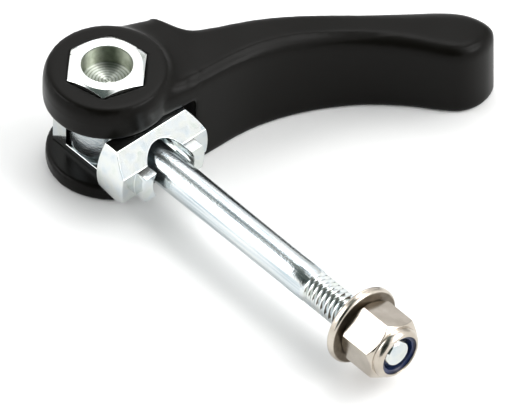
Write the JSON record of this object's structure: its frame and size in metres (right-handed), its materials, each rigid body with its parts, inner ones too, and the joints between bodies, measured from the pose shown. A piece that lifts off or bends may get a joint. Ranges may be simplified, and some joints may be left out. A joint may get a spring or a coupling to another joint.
{
  "type": "seatpost quick release bolt",
  "caption": "Cam lever with forked ears, eccentric pin, saddle and eye bolt with lock nut and washer, which clamps a seatpost collar.",
  "frame": {"origin": "on the pivot axis, in the plane of the lever's flat underside", "axes": "+X along the bolt towards the nut, +Z along the pivot axis from the lower ear to the upper ear, +Y towards the lever's arm"},
  "size_m": [0.0819, 0.0685, 0.0213],
  "materials": {
    "black_nylon": "satin moulded, glass filled",
    "bright_zinc": "bright zinc plated",
    "stainless": "bright, tumbled",
    "blue_nylon": "moulded"
  },
  "bodies": {
    "lever_set": {"lever": "black_nylon", "cam_pin": "bright_zinc"},
    "saddle": {"saddle": "bright_zinc"},
    "bolt": {"eye_bolt": "bright_zinc"},
    "washer": {"washer": "stainless"},
    "nut": {"lock_nut": "stainless", "nylon_insert": "blue_nylon"}
  },
  "joints": [
    {"name": "saddle_turn", "type": "hinge", "parent": "lever_set", "child": "saddle", "pos_m": [0, 0, 0.00855], "axis": [0, 0, -1], "range_deg": [0, 175]},
    {"name": "bolt_turn", "type": "hinge", "parent": "lever_set", "child": "bolt", "pos_m": [-0.00065, 0, 0.00855], "axis": [0, 0, -1], "range_deg": [0, 175]},
    {"name": "washer_travel", "type": "slide", "parent": "bolt", "child": "washer", "axis": [-1, 0, 0], "range_m": [-0.006, 0.01]},
    {"name": "nut_spin", "type": "hinge", "parent": "washer", "child": "nut", "pos_m": [0.0664, 0, 0.00855], "axis": [-1, 0, 0], "range_deg": [-2170, 3610]}
  ],
  "couplings": [
    {"joint": "bolt_turn", "follows": "saddle_turn", "ratio": 1},
    {"joint": "nut_spin", "follows": "washer_travel", "rad_per_m": 6283.2}
  ]
}
